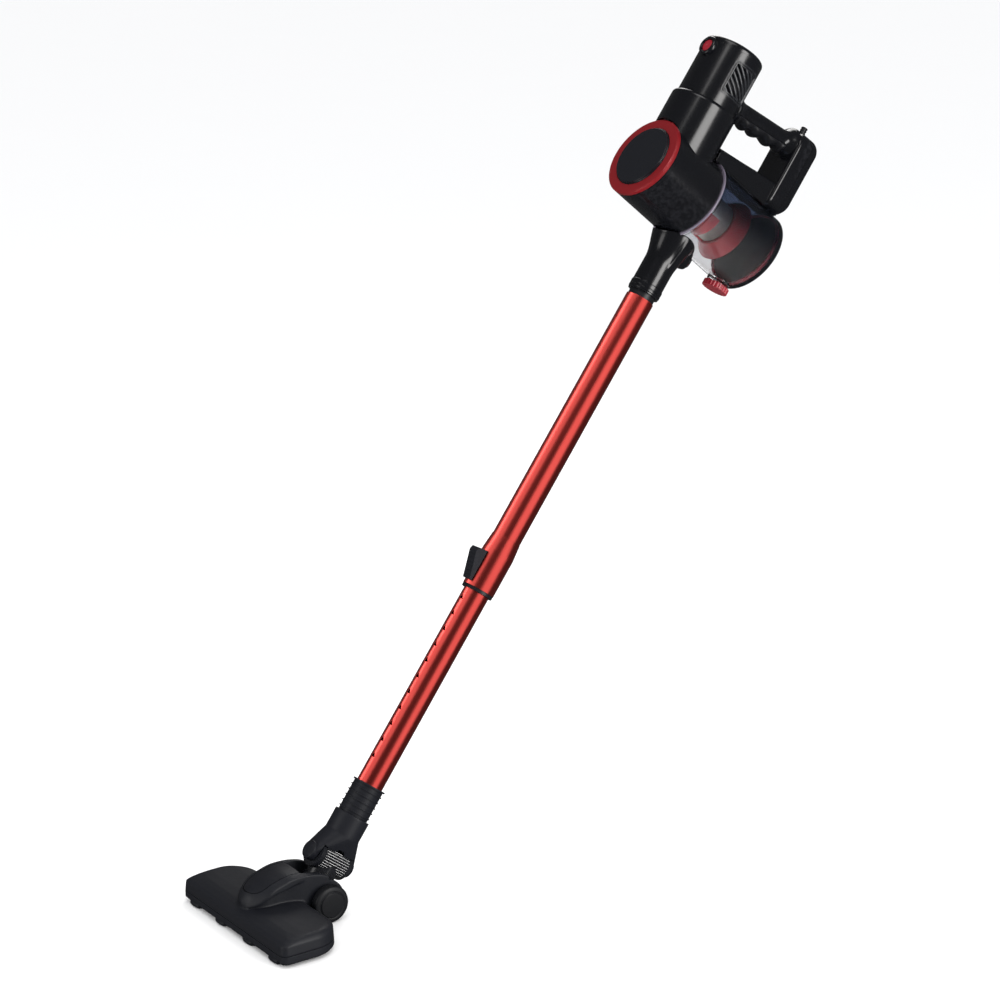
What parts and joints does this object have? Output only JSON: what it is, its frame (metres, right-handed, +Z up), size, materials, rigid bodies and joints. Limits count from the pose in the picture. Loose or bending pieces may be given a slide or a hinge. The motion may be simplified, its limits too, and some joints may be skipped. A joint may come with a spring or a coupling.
{
  "type": "stick vacuum cleaner",
  "caption": "Corded stick vacuum cleaner: hand unit with clear cyclone dust cup and rear grip, red telescopic wand and a swivelling floor head with rear wheels.",
  "frame": {"origin": "middle of the hand grip, where a hand or a hook holds the cleaner", "axes": "+Z up, +X to the user's right, the head and the front of the hand unit face -Y"},
  "size_m": [0.236, 0.8343, 0.9524],
  "materials": {
    "gloss_black": "high gloss moulded",
    "grille_black": "gloss moulded louvres",
    "satin_black": "satin moulded",
    "matte_black": "fine matte grain",
    "grip_black": "soft-touch satin",
    "head_black": "fine matte grain",
    "panel_black": "fine matte grain",
    "barrel_black": "semi-gloss",
    "rib_black": "semi-gloss",
    "wheel_black": "matte",
    "disc_black": "gloss",
    "cover_red": "satin pearl",
    "frame_red": "gloss",
    "button_red": "translucent gloss",
    "tube_red": "red anodised",
    "clear_cup": "smoked clear plastic",
    "mesh_steel": "fine perforated mesh",
    "seal_red": "moulded seal",
    "seal_rubber": "moulded rubber",
    "bristle_black": "brush strip",
    "screw_steel": "zinc plated",
    "motor_steel": "laminated steel",
    "winding_copper": "varnished winding",
    "impeller_metal": "stamped",
    "inner_plastic": "plain moulding",
    "filter_paper": "pleated filter paper",
    "filter_foam": "open cell foam"
  },
  "bodies": {
    "hand_unit": {"main_casing": "gloss_black", "motor_housing": "gloss_black", "motor_top_cap": "gloss_black", "grille_right": "grille_black", "grille_left": "grille_black", "power_bezel": "satin_black", "power_switch": "inner_plastic", "motor_stator": "motor_steel", "motor_brackets": "motor_steel", "motor_bearings": "motor_steel", "motor_mounts": "seal_rubber", "fan_shroud": "inner_plastic", "pleated_filter": "filter_paper", "foam_filter": "filter_foam", "handle_body": "gloss_black", "finger_grip": "grip_black", "bridge_arm": "gloss_black", "pod_shell": "gloss_black", "pod_back_cover": "gloss_black", "pod_screws": "screw_steel", "cord_gland": "satin_black", "inlet_duct": "gloss_black", "inlet_seal": "seal_rubber", "dust_cup": "clear_cup", "cyclone_frame": "frame_red", "mesh_screen": "mesh_steel", "cyclone_skirt": "frame_red", "lid_hinge_pin": "screw_steel"},
    "power_button": {"power_button": "button_red"},
    "filter_cover": {"cover_ring": "cover_red", "cover_disc": "disc_black"},
    "rotor": {"motor_shaft": "motor_steel", "motor_armature": "winding_copper", "impeller": "impeller_metal"},
    "cup_lid": {"cup_lid": "gloss_black", "lid_seal": "seal_red"},
    "lid_latch": {"lid_latch_button": "button_red"},
    "wand_release": {"wand_release_button": "satin_black"},
    "upper_wand": {"wand_spigot": "satin_black", "upper_tube": "tube_red", "telescope_collar": "tube_red", "collar_ring": "satin_black"},
    "telescope_button": {"telescope_button": "matte_black"},
    "lower_wand": {"lower_tube": "tube_red", "tube_bush": "inner_plastic", "neck_sleeve": "matte_black", "neck_cuff": "matte_black", "swivel_pins": "matte_black"},
    "swivel": {"swivel_neck": "barrel_black", "swivel_ribs": "rib_black"},
    "floor_head": {"head_top_shell": "head_black", "bill_panel": "panel_black", "head_base_plate": "head_black", "bristle_strips": "bristle_black", "pivot_pins": "screw_steel", "head_screws": "screw_steel"},
    "wheel_right": {"wheel_right": "wheel_black"},
    "wheel_left": {"wheel_left": "wheel_black"}
  },
  "joints": [
    {"name": "power_press", "type": "slide", "parent": "hand_unit", "child": "power_button", "axis": [0, 0.7965, -0.6046], "range_m": [0, 0.002], "stiffness_N_per_m": 900, "springref_m": -0.001},
    {"name": "filter_cover_turn", "type": "hinge", "parent": "hand_unit", "child": "filter_cover", "pos_m": [0, -0.17542, -0.01675], "axis": [0, 0.7638, -0.6455], "range_deg": [0, 25]},
    {"name": "motor_spin", "type": "hinge", "parent": "hand_unit", "child": "rotor", "pos_m": [0, -0.07918, 0.03876], "axis": [0, 0.6046, 0.7965], "continuous": true},
    {"name": "lid_swing", "type": "hinge", "parent": "hand_unit", "child": "cup_lid", "pos_m": [0, 0.01272, -0.10242], "axis": [1, 0, 0], "range_deg": [0, 60]},
    {"name": "lid_latch_press", "type": "slide", "parent": "hand_unit", "child": "lid_latch", "axis": [0, 0.6046, 0.7965], "range_m": [0, 0.0025], "stiffness_N_per_m": 800, "springref_m": -0.001},
    {"name": "wand_release_press", "type": "slide", "parent": "hand_unit", "child": "wand_release", "axis": [0, -0.7965, 0.6046], "range_m": [0, 0.003], "stiffness_N_per_m": 900, "springref_m": -0.001},
    {"name": "wand_pull", "type": "slide", "parent": "hand_unit", "child": "upper_wand", "axis": [0, -0.6046, -0.7965], "range_m": [0, 0.05]},
    {"name": "telescope_release", "type": "slide", "parent": "upper_wand", "child": "telescope_button", "axis": [0, 0.6046, 0.7965], "range_m": [0, 0.004], "stiffness_N_per_m": 800, "springref_m": -0.001},
    {"name": "telescope", "type": "slide", "parent": "upper_wand", "child": "lower_wand", "axis": [0, 0.6046, 0.7965], "range_m": [0, 0.21]},
    {"name": "neck_swivel", "type": "hinge", "parent": "lower_wand", "child": "swivel", "pos_m": [0, -0.63251, -0.78037], "axis": [0, -0.7965, 0.6046], "range_deg": [-45, 45]},
    {"name": "head_pitch", "type": "hinge", "parent": "swivel", "child": "floor_head", "pos_m": [0, -0.65392, -0.81685], "axis": [1, 0, 0], "range_deg": [-18, 33]},
    {"name": "wheel_right_spin", "type": "hinge", "parent": "floor_head", "child": "wheel_right", "pos_m": [0.037, -0.65392, -0.81685], "axis": [1, 0, 0], "continuous": true},
    {"name": "wheel_left_spin", "type": "hinge", "parent": "floor_head", "child": "wheel_left", "pos_m": [-0.037, -0.65392, -0.81685], "axis": [1, 0, 0], "continuous": true}
  ]
}
